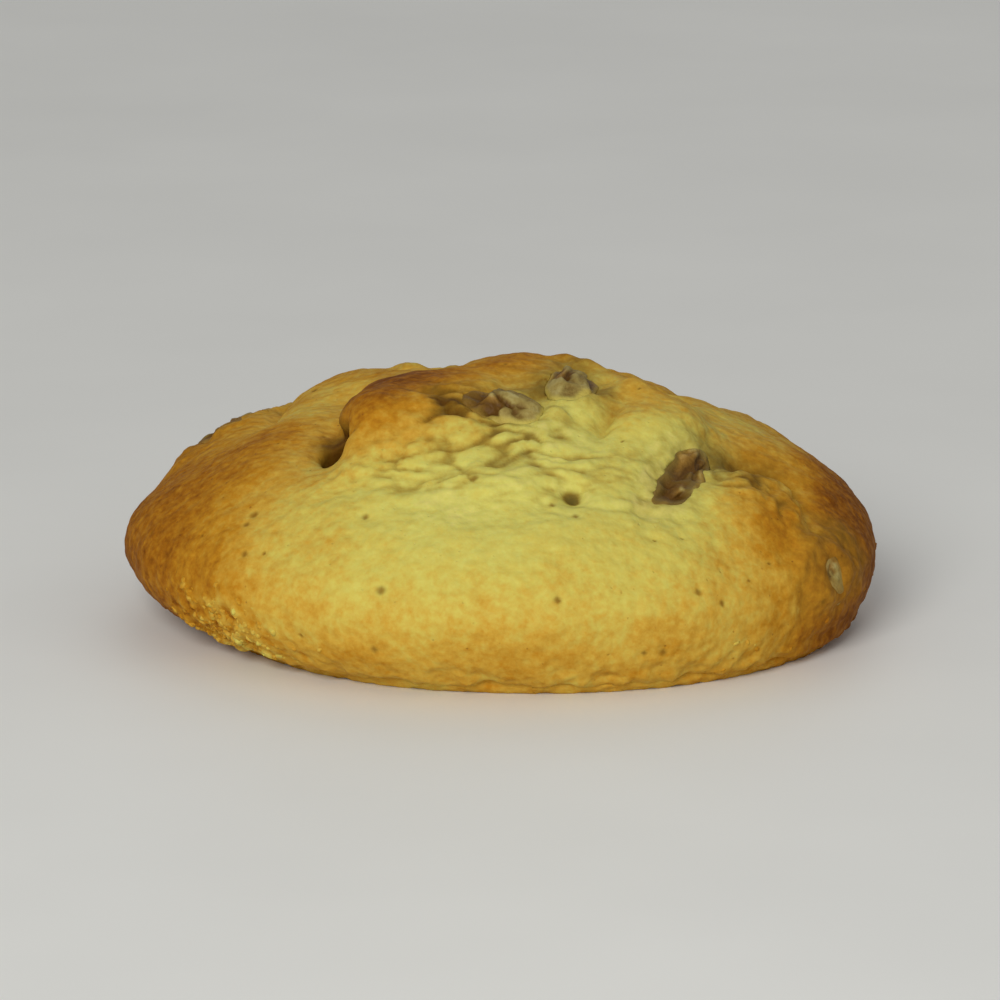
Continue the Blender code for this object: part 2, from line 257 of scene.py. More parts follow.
# Raisins: name, direction round the cookie, share of the way up the skin, length, width and thickness,
# heading of the length, how far they stand out of the skin, how much dough clings to their near and far
# ends, how deep the skin sinks over them, and how much longer than wide their furrows are
Raisin = collections.namedtuple("Raisin", "name direction rise size heading stands_out cling sinks stretch")
RAISINS = (
    Raisin("raisin_front", -46, 0.668, (9.2, 3.9, 4.0), 75, 0.5, (0.15, 0.2), 0.1, 4.0),
    Raisin("raisin_top", -91, 0.851, (7.0, 4.4, 4.4), -20, 0.9, (0.0, 1.1), 0.1, 1.8),
    Raisin("raisin_crest", -38, 0.886, (7.0, 3.6, 3.8), 88, 1.2, (0.95, 0.25), 0.1, 4.5),
    Raisin("raisin_right", -31, 0.402, (7.2, 4.8, 3.8), 66, 0.0, (0.5, 0.5), -0.4, 2.0),
    Raisin("raisin_back_left", 150, 0.575, (9.4, 5.0, 4.2), 35, 0.25, (0.3, 0.4), 0.2, 2.5),
    Raisin("raisin_back", 101, 0.705, (7.6, 4.2, 3.8), 12, 0.3, (0.45, 0.25), 0.2, 2.5),
    Raisin("raisin_back_right", 42, 0.520, (8.0, 5.8, 4.4), 84, 0.35, (0.3, 0.7), 0.2, 1.8),
    Raisin("raisin_under", 146, 0.100, (8.4, 6.4, 4.0), 30, 0.2, (0.1, 0.2), 0.1, 2.0),
)

# Faces round and along a raisin and its pocket, the first raisin's seed, and the gap in the pocket
RAISIN_FACES = (96, 64)
POCKET_FACES = (48, 28)
FIRST_RAISIN_SEED = 20
POCKET_GAP = 0.03

# Size and reach of the bends in a raisin's outline, and how far every raisin stays clear of the sheet
RAISIN_BEND = (2.8, 0.5)
RAISIN_CLEAR = 0.15

# The swollen lip of dough round a raisin: where it is and how wide, as shares of the raisin's half
# width, its height and least amount, and size, amount and seed of what makes its line ragged
LIP_AT = 1.0
LIP_WIDTH = 0.36
LIP_HEIGHT = 0.26
LIP_LEAST = 0.3
LIP_RAGGED = ((1.7, 0.16, 90), (0.7, 0.08, 90))

# How uneven the lip is: size, amount and seed of the noise, its mean, and the most it comes to
LIP_VARIES = (3.4, 1.8, 91)
LIP_MEAN = 0.8
LIP_MOST = 2.2

# Rough skin near a raisin: size, height and seed of each noise, and how far it reaches
TORN_SKIN = ((1.9, 0.30, 92), (0.85, 0.12, 92))
NEAR_RAISIN = 1.9

# From where to where up a raisin its top begins, as a share of its half thickness: for the dough round
# it and for what clings to it; and where the skin's dip over it ends, as a share of its half width
BED_BEGINS = (-0.5, 0.5)
TOP_BEGINS = (-0.2, 0.6)
DIP_ENDS = (0.5, 1.0)

# Furrows of a raisin: depth as a share of the radius, size across, and the noise they start at
FURROWS = ((0.22, 1.25, 0.4), (0.08, 0.65, 0.4))

# Dough clinging to a raisin: size and amount of its patches and of their ragged edges, how much more of
# it there is where dough clings and off the furrows, the furrows' mean, how softly it ends, how much of
# a furrow it fills, its thickness, and size and extra thickness of its lumps
FILM_PATCHES = ((1.9, 1.0), (0.6, 0.35))
FILM_WHERE_CLINGING = 1.6
FILM_OFF_FURROWS = 0.5
FURROW_MEAN = 0.4
FILM_EDGE = 0.5
FILM_FILLS = 0.85
FILM_THICKNESS = 0.08
FILM_LUMPS = (1.4, 3.0)

# How far out of the skin the dough's rim on a raisin fades away, and size and amount of its raggedness
RIM_DOUGH = (-0.02, 0.35)
RIM_RAGGED = (0.9, 0.12)

# What is added to a raisin's seed for its film, the film's edges, its rim and the film's lumps
FILM_SEEDS = (200, 300)
RIM_SEED = 400
FILM_LUMP_SEED = 500

# Browning of the skin, from 0 pale to 1 brown: level everywhere, and spots with place in plan, reach
# and amount. The browner spots on the left lobe, the left shoulder and the dome's top are partly
# browning and partly painted shade
BAKE_LEVEL = 0.50
BAKE_AND_SHADE_SPOTS = (
    (1.0, -18.0, 10.5, -0.17),
    (9.0, -13.0, 7.0, -0.14),
    (-4.0, -13.0, 7.5, -0.12),
    (12.0, -7.5, 3.5, -0.12),
    (4.5, -7.5, 4.5, -0.10),
    # This spot and those at (1.0, 1.0), (-15.5, -5.0) and (-6.9, -0.9) are partly browning and partly painted
    # shade
    (-7.0, -3.4, 5.6, 0.33),
    (8.2, -5.0, 2.2, 0.12),
    (1.0, 1.0, 3.5, 0.18),
    (-15.5, -5.0, 6.0, 0.20),
    (-6.9, -0.9, 2.8, 0.28),
    (16.8, -6.4, 3.4, 0.32),
    (18.6, -15.2, 5.5, 0.16),
    (22.3, -8.0, 2.8, 0.10),
    (18.4, -10.0, 2.4, -0.12),
    (-3.0, -9.0, 6.0, 0.06),
    (5.0, 12.0, 5.0, -0.12),
    (-12.0, 12.5, 4.0, -0.12),
)

# Where the skin turns browner by its height, to the left, to the right, at the right end by an uneven
# line, and to the back: start and end of the change, and amount. At the right end it is partly browning and
# partly a painted cast shadow
BROWNER_LOW = (2.5, 9.0, 0.13)
BROWNER_LEFT = (11.0, 26.0, 0.40)
BROWNER_RIGHT = (16.0, 25.0, 0.26)
BROWNER_AND_SHADOWED_END = (18.6, 24.0, 0.28)
BROWNER_AND_SHADOWED_END_LINE = (2.6, 1.4, 44)
BROWNER_BACK = (-2.0, 14.0, 0.16)

# How much browner raised parts are, for each millimetre up to a limit; noises with size, amount and seed;
# and the browning above which it grows only slowly
BROWNER_RAISED = 0.12
RAISED_MOST = 1.5
BAKE_NOISE = ((9.0, 0.06, 41), (3.2, 0.06, 42), (1.1, 0.06, 43))
BROWNEST = 0.8
BROWNEST_SOFTNESS = 0.32

# Browning of the foot: level, toasted patches, and a broken paler ring with its place and width as shares
# of the radius, how much paler it is, and how uneven
FOOT_LEVEL = 0.72
FOOT_PATCHES = ((6.0, 0.22, 51), (2.0, 0.12, 52), (0.8, 0.08, 53))
FOOT_RING_AT = 0.76
FOOT_RING_WIDTH = 0.045
FOOT_RING_PALER = 0.22
FOOT_RING_UNEVEN = (5.0, 0.3, 56)

# Crumbly crust just above the foot: direction round the cookie, spread and amount, the heights where it
# starts and ends, how much paler it is, and its relief: size, height, seed and how much paler its tops are,
# which is painted light on the lumps' tops and painted shade in their hollows
CRUMBLY = ((-142, 13, 1.0), (-48, 8, 0.2), (60, 60, 0.25))
CRUMBLY_FROM = (0.4, 1.6)
CRUMBLY_UP_TO = (3.2, 6.6)
CRUMBLY_PALER = 0.14
CRUMBLY_RELIEF = ((1.1, 0.34, 65, 0.3), (0.55, 0.16, 66, 0.2))

# Crumbs clinging there: how many, seed, length, the power that makes small ones more common, width and
# thickness as shares of the length, size and amount of their roughness, how deep they sit, how far they
# stay clear of the sheet, and how much browner they are
CRUMBS = 340
CRUMB_SEED = 61
CRUMB_SIZE = (0.35, 0.8)
CRUMB_SIZE_POWER = 1.5
CRUMB_WIDTH = (0.55, 1)
CRUMB_FLATNESS = (0.5, 0.8)
CRUMB_ROUGH = ((0.9, 0.4), (0.5, 0.2))
CRUMB_SUNK = 0.5
CRUMB_CLEAR = 0.02
CRUMB_BROWNER = (-0.10, 0.06)

# Colours, as display values from 0 to 255: the crust from pale to brown, and the rest from dark to light
CRUST_COLOURS = (
    (0.0, (222, 208, 122)),
    (0.25, (207, 200, 102)),
    (0.42, (204, 186, 86)),
    (0.58, (200, 159, 60)),
    (0.74, (184, 129, 30)),
    (0.88, (156, 98, 17)),
    (1.0, (116, 64, 8)),
)
SPECK_COLOUR = (130, 78, 24)
# The colour the small holes are painted: painted shade
HOLE_COLOUR = (122, 84, 20)
# The dull colours also paint shade; their darkest end is painted shade in the steep holes
STAIN_AND_SHADE_COLOURS = ((0.0, (176, 148, 62)), (0.45, (144, 110, 34)), (1.0, (70, 43, 8)))
# The raisin's colours: partly its own tones, partly painted shade in its furrows and a painted highlight on
# its ridges
FRUIT_COLOURS = ((0.1, (93, 62, 16)), (0.45, (139, 103, 40)), (0.75, (184, 152, 88)))
FILM_COLOURS = ((0.2, (120, 96, 42)), (0.5, (156, 138, 76)), (0.85, (184, 174, 116)))
FLOOR_COLOURS = ((0.3, (233, 234, 231)), (0.7, (238, 239, 236)))
CRUST_CONSTANTS = {
    "Subsurface Weight": 0.12,
    "Subsurface Radius": (1.0, 0.6, 0.25),
    "Subsurface Scale": 0.6 * MM,
    "Specular IOR Level": 0.06,
}
FRUIT_CONSTANTS = {"Specular IOR Level": 0.18}

# Noises in the materials: size, detail and roughness
MOTTLE = (0.9, 3.0, 0.55)
FLECKS = (0.5, 4.0, 0.75)
GRAIN = (0.45, 1.0, 0.55)
BLOTCHES = (3.5, 3.0, 0.55)
GRANULES = (0.65, 0.0, 0.55)
FRUIT_MOTTLE = (1.0, 3.0, 0.55)
FRUIT_GRAIN = (0.25, 2.0, 0.55)
FLOOR_CLOUDS = (40.0, 3.0, 0.55)

# Specks of the crust: how far apart they are, where their edges fade, and the browning that brings them
SPECK_SPACING = 1.1
SPECK_EDGE = (0.10, 0.02)
SPECKS_BY_BAKE = (0.35, 0.9)

# How the colours of stains and painted shade, of the small holes' painted shade and of the film cover what
# is under them: range of the level, and cover at its ends; and how far the crust on a raisin's rim is turned
# to the dull colour
STAIN_AND_SHADE_COVER = (0.05, 0.8, 0.0, 0.85)
HOLE_COVER = (0.25, 0.95, 0.0, 0.75)
FILM_COVER = (0.15, 0.85, 0.0, 0.92)
RIM_DULLER = 0.45

# Roughness at the ends of a range of the mottle or of the film's cover, and depth of the finest relief
CRUST_ROUGHNESS = (0.3, 0.7, 0.6, 0.76)
FRUIT_ROUGHNESS = (0.0, 1.0, 0.55, 0.7)
FLOOR_ROUGHNESS = 0.6
FINEST_RELIEF = 0.1

# Numbers of the colour inputs and output on a mixing node, which has others for numbers and vectors
FIRST_COLOUR = 6
SECOND_COLOUR = 7
MIXED_COLOUR = 2

# Floor, the point that lamps and camera aim at, and the camera: its angle, distance, lens and sight
FLOOR_SIZE = 4000
LOOKED_AT = (0.0, 0.0, 7.8)
CAMERA_ELEVATION = 14
CAMERA_DISTANCE = 450
CAMERA_LENS = 240
CAMERA_SEES = (10, 20000)

# Lamps: name, place, size, power and tint; and the light from all round
LAMPS = (
    ("key", (-150, -560, 300), 300, 2.75, (1.0, 0.985, 0.955)),
    ("fill", (420, -300, 260), 400, 0.15, (0.98, 0.99, 1.0)),
    ("back", (60, 480, 380), 400, 0.25, (1.0, 1.0, 1.0)),
)
SKY_COLOUR = (1.0, 0.99, 0.97, 1.0)
SKY_STRENGTH = 0.31


def smooth_step(low, high, value):
    share = np.clip((value - low) / (high - low), 0, 1)
    return share * share * (3 - 2 * share)


def gradient_noise(points, size, seed):
    """Smooth noise from about -1 to 1 at each point, with bumps about `size` across."""
    draw = np.random.default_rng(seed)
    slopes = draw.normal(size=(256, 3))
    slopes /= np.linalg.norm(slopes, axis=1)[:, None]
    shuffle = draw.permutation(256)
    cell = points / size
    corner = np.floor(cell).astype(int)
    inside = cell - corner
    ease = inside**3 * (inside * (6 * inside - 15) + 10)
    total = np.zeros(len(points))
    for step in itertools.product((0, 1), repeat=3):
        x, y, z = ((corner + step) & 255).T
        slope = slopes[shuffle[(shuffle[(shuffle[x] + y) & 255] + z) & 255]]
        weight = np.prod(np.where(step, ease, 1 - ease), axis=1)
        total += weight * np.sum(slope * (inside - step), axis=1)
    return 1.7 * total


def noises(points, layers):
    """The sum of noises, each given by its size, height and seed."""
    return sum(height * gradient_noise(points, size, seed) for size, height, seed in layers)


def outline(azimuth):
    """The rim's radius in each direction, as a share of a true oval's."""
    share = np.ones(np.shape(azimuth))
    for waves, height, crest in OUTLINE_WAVES:
        share = share + height * np.cos(waves * (azimuth - math.radians(crest)))
    return share


def dome_height(slope):
    """The dome's height, from the waist at a `slope` of 0, upright, to the top at 1, level."""
    eased = slope * (DOME_ROUNDNESS + (1 - DOME_ROUNDNESS) * slope)
    return WAIST_HEIGHT + (DOME_TOP - WAIST_HEIGHT) * eased


def profile(azimuth, rise):
    """Share of the rim's radius, and height, from the foot's centre at a `rise` of 0 to the top at 1."""
    foot_share = FOOT_SHARE + FOOT_FULLER * np.cos(azimuth - math.radians(FOOT_FULLEST))
    notch_share = foot_share + NOTCH_SHARE
    foot = rise / FOOT_ENDS
    notch = (rise - FOOT_ENDS) / (NOTCH_ENDS - FOOT_ENDS)
    turn = np.clip((rise - NOTCH_ENDS) / (WAIST_AT - NOTCH_ENDS), 0, 1) * math.pi / 2
    dome = np.clip((rise - WAIST_AT) / (1 - WAIST_AT), 0, 1) ** DOME_SPREAD * math.pi / 2
    stretches = (rise <= FOOT_ENDS, rise <= NOTCH_ENDS, rise <= WAIST_AT)
    radii = (
        foot_share * foot,
        foot_share + NOTCH_SHARE * notch,
        notch_share + (1 - notch_share) * np.sin(turn),
    )
    heights = (
        0 * rise,
        NOTCH_HEIGHT * notch,
        WAIST_HEIGHT - (WAIST_HEIGHT - NOTCH_HEIGHT) * np.cos(turn),
    )
    radius = np.select(stretches, radii, np.cos(dome))
    height = np.select(stretches, heights, dome_height(np.sin(dome)))
    return radius, height


def base_point(azimuth, rise):
    """A point of the plain cookie, before any relief."""
    radius, height = profile(azimuth, rise)
    reach = radius * outline(azimuth)
    along = reach * np.cos(azimuth) * COOKIE_LENGTH / 2
    across = reach * np.sin(azimuth) * COOKIE_WIDTH / 2
    return np.stack((along, across, height), axis=-1)


def base_normal(azimuth, rise):
    step = 0.002
    round_way = base_point(azimuth + step, rise) - base_point(azimuth - step, rise)
    upward = base_point(azimuth, rise + step) - base_point(azimuth, rise - step)
    normal = np.cross(round_way, upward)
    return normal / np.linalg.norm(normal)


def dome_point(x, y):
    """The point of the plain dome above a place in plan."""
    along = x / (COOKIE_LENGTH / 2)
    across = y / (COOKIE_WIDTH / 2)
    radius = math.hypot(along, across) / float(outline(math.atan2(across, along)))
    return np.array((x, y, dome_height(math.sqrt(max(0.0, 1 - radius**2)))))


def groove(points, route, widths):
    """How near each point is to a line over the dome above the route, from 0 far off to 1 on it, by the
    widths to the left and right of the line, and how far along the line the point is."""
    corners = [dome_point(x, y) for x, y in route]
    lengths = [np.linalg.norm(end - start) for start, end in itertools.pairwise(corners)]
    nearest = np.full(len(points), np.inf)
    side = np.zeros(len(points))
    along = np.zeros(len(points))
    for number, (start, end) in enumerate(itertools.pairwise(corners)):
        run = end - start
        offset = points - start
        share = np.clip(offset @ run / (run @ run), 0, 1)
        away = np.linalg.norm(offset - share[:, None] * run, axis=1)
        leftward = (run[0] * offset[:, 1] - run[1] * offset[:, 0]) / math.hypot(run[0], run[1])
        closer = away < nearest
        nearest[closer] = away[closer]
        side[closer] = (leftward / np.maximum(away, 0.001))[closer]
        along[closer] = (sum(lengths[:number]) + share[closer] * lengths[number]) / sum(lengths)
    left, right = widths
    width = right + (left - right) * smooth_step(-0.5, 0.5, side)
    return np.exp(-((nearest / width) ** 2)), along


def spots(points, places):
    """The sum of the spots' amounts, each fading from its place on the dome over its reach."""
    total = np.zeros(len(points))
    for x, y, reach, amount, steepness in places:
        away = np.linalg.norm(points - dome_point(x, y), axis=1) / reach
        total += amount * np.exp(-(away**steepness))
    return total


def on_skin(points):
    """1 on the dome and its side, fading to 0 at the notch."""
    return smooth_step(NOTCH_HEIGHT, WAIST_HEIGHT, points[:, 2])


def relief(points):
    """How far the baked skin stands out from the plain cookie at each point of it."""
    rise = spots(points, LUMPS) - spots(points, [(*pit, SPOT_STEEPNESS) for pit in PITS])
    for route, widths, depth in FOLDS:
        rise -= depth * groove(points, route, widths)[0]
    for size, height, seed in SKIN_NOISE:
        rise += height * gradient_noise(points, size, seed)
    return rise * on_skin(points)


def torn_edge(points):
    """Depth of the ragged crumb on the undercut side, just above the foot."""
    size, depth, seed = EDGE_NOISE
    notches_up = points[:, 2] / NOTCH_HEIGHT
    band = smooth_step(*EDGE_GROWS, notches_up) - smooth_step(*EDGE_FADES, notches_up)
    return depth * band * np.abs(gradient_noise(points, size, seed))


def hollow_lift(points):
    """How far the middle of the foot stands clear of the sheet."""
    size, height, seed = HOLLOW_NOISE
    outward = np.hypot(points[:, 0], points[:, 1]) / HOLLOW_RADIUS
    crumb = np.abs(gradient_noise(points, size, seed)) * height
    return (1 - smooth_step(HOLLOW_FLOOR, 1, outward)) * (HOLLOW_DEPTH + crumb)


def set_points(mesh, points):
    mesh.vertices.foreach_set("co", points.astype(np.float32).ravel())
    mesh.update()


def get_points(mesh):
    flat = np.empty(len(mesh.vertices) * 3, np.float32)
    mesh.vertices.foreach_get("co", flat)
    return flat.reshape(-1, 3).astype(float)


def get_normals(mesh):
    flat = np.empty(len(mesh.vertices) * 3, np.float32)
    mesh.vertex_normals.foreach_get("vector", flat)
    return flat.reshape(-1, 3).astype(float)


def set_level(mesh, name, values):
    """Stores one number for each point, for the materials to read."""
    level = mesh.attributes.new(name, "FLOAT", "POINT")
    level.data.foreach_set("value", values.astype(np.float32))


def even_ball(name, cuts):
    """A ball of near-square faces: a cube's grid blown up to a sphere of radius 1."""
    grid = bmesh.new()
    bmesh.ops.create_cube(grid, size=2)
    bmesh.ops.subdivide_edges(grid, edges=grid.edges[:], cuts=cuts, use_grid_fill=True)
    mesh = bpy.data.meshes.new(name)
    grid.to_mesh(mesh)
    grid.free()
    spread = np.tan(get_points(mesh) * math.pi / 4)
    set_points(mesh, spread / np.linalg.norm(spread, axis=1)[:, None])
    return mesh


def near_tree(points):
    tree = KDTree(len(points))
    for number, point in enumerate(points):
        tree.insert(point, number)
    tree.balance()
    return tree


def swayed(points, size, reach):
    """The points moved about smoothly, to bend what is drawn at them."""
    return points + reach * np.stack([gradient_noise(points, size, seed) for seed in SWAY_SEEDS], axis=1)


def creases(points):
    """How deep the finer creases are at each point, each fading towards its ends."""
    bent = swayed(points, *CRACK_BEND)
    total = np.zeros(len(points))
    for route, widths, depth, deepest_at in CRACKS:
        near, along = groove(bent, route, widths)
        before = np.clip(along / deepest_at, 0, 1)
        after = np.clip((1 - along) / (1 - deepest_at), 0, 1)
        total += depth * np.minimum(before, after) ** CRACK_FADING * near
    return total


def skin_point(plain, normal, rise):
    """Where the relief carries a point of the plain cookie."""
    if rise < FOOT_ENDS:
        return plain - normal * hollow_lift(plain[None])[0]
    return plain + normal * relief(plain[None])[0]


def raisin_axes(raisin):
    """A raisin's centre, and its length, width and thickness directions as columns."""
    azimuth = math.radians(raisin.direction)
    normal = base_normal(azimuth, raisin.rise)
    skin = skin_point(base_point(azimuth, raisin.rise), normal, raisin.rise)
    centre = skin + normal * (raisin.stands_out - raisin.size[2] / 2)
    turn = math.radians(raisin.heading)
    level = np.array((math.cos(turn), math.sin(turn), 0.0))
    length_way = level - normal * (level @ normal)
    length_way /= np.linalg.norm(length_way)
    return centre, np.stack((length_way, np.cross(normal, length_way), normal), axis=1)


def clinging(raisin, local):
    """How much dough clings to a raisin, from its near end to its far end."""
    near_end, far_end = raisin.cling
    share = np.clip(0.5 + local[:, 0] / raisin.size[0], 0, 1)
    return near_end + (far_end - near_end) * share


def raisin_beds(points):
    """The skin's dip over each raisin with its torn, swollen lip, and how near each point is to a raisin."""
    dip = np.zeros(len(points))
    lip = np.zeros(len(points))
    nearness = np.zeros(len(points))
    ragged = noises(points, LIP_RAGGED)
    swollen = np.clip(LIP_MEAN + noises(points, [LIP_VARIES]), 0, LIP_MOST)
    torn = noises(points, TORN_SKIN)
    for raisin in RAISINS:
        centre, axes = raisin_axes(raisin)
        half = np.array(raisin.size) / 2
        local = (points - centre) @ axes
        outer = smooth_step(*BED_BEGINS, local[:, 2] / half[2])
        away = np.hypot(local[:, 0] / half[0], local[:, 1] / half[1]) + ragged
        dip += outer * raisin.sinks * (1 - smooth_step(*DIP_ENDS, away))
        amount = outer * swollen * (LIP_LEAST + clinging(raisin, local))
        lip = np.maximum(lip, amount * np.exp(-(((away - LIP_AT) / LIP_WIDTH) ** 2)))
        beyond = np.maximum(away - 1, 0) * half[:2].mean()
        nearness = np.maximum(nearness, outer * np.exp(-((beyond / NEAR_RAISIN) ** 2)))
    return LIP_HEIGHT * lip - dip + torn * nearness, nearness


def wrinkles(points):
    """Soft creases of the stretched skin, sideways in the wrinkled places."""
    amount = np.zeros(len(points))
    for x, y, across, along in WRINKLED:
        away = ((points[:, 0] - x) / across) ** 2 + ((points[:, 1] - y) / along) ** 2
        amount = np.maximum(amount, np.exp(-(away**WRINKLED_EDGE)))
    bent = swayed(points, *WRINKLE_BEND) / (WRINKLE_STRETCH, 1, 1)
    height = np.zeros(len(points))
    for size, deepest, seed in WRINKLES:
        crest = 1 - np.abs(gradient_noise(bent, size, seed))
        height -= deepest * (smooth_step(WRINKLE_STARTS, 1, crest) - WRINKLE_LIFT)
    return height * amount


def pinholes(points, bake):
    """Depth of small holes that steam left, more of them where the skin is browner, and their darkness, which
    is painted shade.
    """
    draw = np.random.default_rng(PINHOLE_SEED)
    likely = np.clip(bake, PINHOLES_IN_PALE, 1) * on_skin(points)
    centres = points[draw.choice(len(points), PINHOLES, replace=False, p=likely / likely.sum())]
    holes = [(point, draw.uniform(*PINHOLE_RADIUS), draw.uniform(*PINHOLE_DEPTH)) for point in centres]
    tree = near_tree(points)
    for x, y, z, radius in SHOWN_HOLES:
        holes.append((tree.find((x, y, z))[0], radius, SHOWN_HOLE_DEPTH))
    depth = np.zeros(len(points))
    dark = np.zeros(len(points))
    for centre, radius, deepest in holes:
        for _, number, away in tree.find_range(centre, PINHOLE_REACH * radius):
            fall = math.exp(-((away / radius) ** 2))
            depth[number] = max(depth[number], deepest * fall)
            dark[number] = max(dark[number], fall)
    return depth, dark


def crumbliness(points):
    """How crumbly the crust is at each point, from 0 to 1."""
    x, y, z = points.T
    total = np.zeros(len(points))
    for direction, spread, amount in CRUMBLY:
        apart = (np.degrees(np.arctan2(y, x)) - direction + 180) % 360 - 180
        total = np.maximum(total, amount * np.exp(-((apart / spread) ** 2)))
    return total * (smooth_step(*CRUMBLY_FROM, z) - smooth_step(*CRUMBLY_UP_TO, z))


def browning_and_shade(points, plain):
    """How brown the skin is baked, from 0 pale to 1 dark, with painted shade at its right end and in some
    spots.
    """
    x, y, z = points.T
    level = BAKE_LEVEL + spots(points, [(*spot, SPOT_STEEPNESS) for spot in BAKE_AND_SHADE_SPOTS])
    start, end, amount = BROWNER_LOW
    level += amount * (1 - smooth_step(start, end, z))
    bent = x + noises(points, [BROWNER_AND_SHADOWED_END_LINE])
    sides = ((BROWNER_LEFT, -x), (BROWNER_RIGHT, x), (BROWNER_AND_SHADOWED_END, bent), (BROWNER_BACK, y))
    for (start, end, amount), place in sides:
        level += amount * smooth_step(start, end, place)
    level += BROWNER_RAISED * np.clip(relief(plain), -RAISED_MOST, RAISED_MOST)
    level += noises(points, BAKE_NOISE)
    over = np.maximum(level - BROWNEST, 0)
    return level - over**2 / (over + BROWNEST_SOFTNESS)


def foot_browning(points):
    """Browning of the flat foot: a broken paler ring inside its edge, and toasted patches."""
    outward = np.hypot(points[:, 0] / COOKIE_LENGTH, points[:, 1] / COOKIE_WIDTH) * 2
    ring = np.exp(-(((outward - FOOT_RING_AT) / FOOT_RING_WIDTH) ** 2))
    paler = FOOT_RING_PALER + noises(points, [FOOT_RING_UNEVEN])
    return FOOT_LEVEL - paler * ring + noises(points, FOOT_PATCHES)


def bake_form(mesh):
    """Carries a ball's points to the dough's form. Returns the plain points and the points with relief."""
    ball = get_points(mesh)
    azimuth = np.arctan2(ball[:, 1], ball[:, 0])
    rise = np.arccos(np.clip(-ball[:, 2], -1, 1)) / math.pi
    plain = base_point(azimuth, rise)
    set_points(mesh, plain)
    shaped = plain + get_normals(mesh) * (relief(plain) - torn_edge(plain))[:, None]
    set_points(mesh, shaped)
    return plain, shaped


def foot_lift(points):
    """How far the foot stands clear of the sheet, with its hollow and its small pits."""
    size, depth, seed = FOOT_GRAIN
    grain = depth * np.abs(gradient_noise(points, size, seed))
    size, depth, seed = FOOT_PITS
    pits = depth * smooth_step(*FOOT_PIT_EDGES, gradient_noise(points, size, seed))
    return hollow_lift(points) + (grain + pits)


def steep_holes(plain):
    """Depth of the steep holes, and how much browner and duller they are painted inside, as painted shade."""
    total = np.zeros((3, len(plain)))
    for x, y, reach, *changes in HOLES:
        total += np.outer(changes, spots(plain, [(x, y, reach, 1.0, HOLE_STEEPNESS)]))
    return total


def crumbly_crust(shaped):
    """Height of the lumps in the crumbly crust, and how much paler it is, with painted light on the lumps'
    tops and painted shade in their hollows.
    """
    crumbly = crumbliness(shaped)
    lumps = np.zeros(len(shaped))
    paler = CRUMBLY_PALER * crumbly
    for size, height, seed, lit_tops_and_shaded_hollows in CRUMBLY_RELIEF:
        lump = crumbly * gradient_noise(shaped, size, seed)
        lumps += height * lump
        paler += lit_tops_and_shaded_hollows * lump
    return lumps, paler


def crust_grain(plain, shaped):
    """Height of the crust's fine grain, with the crumb and fill of the notch above the foot."""
    grain = noises(shaped, GRAIN_NOISE)
    size, depth, seed = EDGE_CRUMB
    grain -= (1 - on_skin(plain)) * depth * np.abs(gradient_noise(shaped, size, seed))
    depth, middle, spread = NOTCH_FILL
    return grain + depth * np.exp(-(((plain[:, 2] - middle) / spread) ** 2))


def shape_dough(mesh):
    """Carries a ball's points to the baked dough. Returns its browning, pinholes and stains, which carry
    painted shade.
    """
    plain, shaped = bake_form(mesh)
    outward = get_normals(mesh)
    on_foot = plain[:, 2] == 0
    skin = on_skin(plain)
    bake = np.where(on_foot, foot_browning(shaped), browning_and_shade(shaped, plain))
    swelling, nearness = raisin_beds(shaped)
    nearness *= skin
    crack = creases(plain) * skin
    folded = wrinkles(shaped) * skin
    pinhole, dark = pinholes(shaped, bake)
    # The steep holes bring painted shade: the skin is made browner and duller inside them
    hole, browner_and_shaded, painted_hole_shade = steep_holes(plain)
    lumps, paler = crumbly_crust(shaped)
    fine = swelling * skin + folded - crack - hole + crust_grain(plain, shaped) + lumps - pinhole
    shaped += outward * fine[:, None]
    shaped[:, 2] = np.maximum(shaped[:, 2], 0)
    shaped[on_foot] = plain[on_foot]
    shaped[on_foot, 2] = foot_lift(plain[on_foot])
    set_points(mesh, shaped)
    # Painted shade: the creases are made browner and duller, and the wrinkles' hollows too, partly as
    # browning
    crack = np.clip(crack, 0, CREASE_DEEPEST)
    bake += browner_and_shaded - paler + CREASE_PAINTED_BROWN_SHADE * crack - RAISIN_PALER * nearness
    bake -= FURROW_BROWNER_AND_SHADE * np.clip(folded, *FURROW_BROWNER_AND_SHADE_RANGE)
    furrow = np.clip(-FURROW_PAINTED_SHADE_FROM - folded, 0, FURROW_PAINTED_SHADE_MOST)
    stain_and_shade = spots(plain, [(*spot, SPOT_STEEPNESS) for spot in STAINS_AND_SHADE]) + painted_hole_shade
    stain_and_shade += FURROW_PAINTED_SHADE * furrow + CREASE_PAINTED_SHADE * crack + RAISIN_STAIN * nearness
    return np.stack((bake, dark, stain_and_shade), axis=1)


def uneven(points):
    """A raisin's points moved about a little, so that its outline is as uneven as a real one's."""
    moved = swayed(points, *RAISIN_BEND)
    moved[:, 2] = np.maximum(moved[:, 2], RAISIN_CLEAR)
    return moved


def raisin_oval(name, faces, size, grow=0.0):
    """A smooth oval round the origin, with its poles at the ends of its length."""
    round_it, along_it = faces
    shape = bmesh.new()
    bmesh.ops.create_uvsphere(shape, u_segments=round_it, v_segments=along_it, radius=1.0)
    bmesh.ops.rotate(shape, verts=shape.verts, matrix=Matrix.Rotation(math.pi / 2, 3, "Y"))
    bmesh.ops.scale(shape, verts=shape.verts, vec=Vector([value / 2 + grow for value in size]))
    mesh = bpy.data.meshes.new(name)
    shape.to_mesh(mesh)
    shape.free()
    return mesh


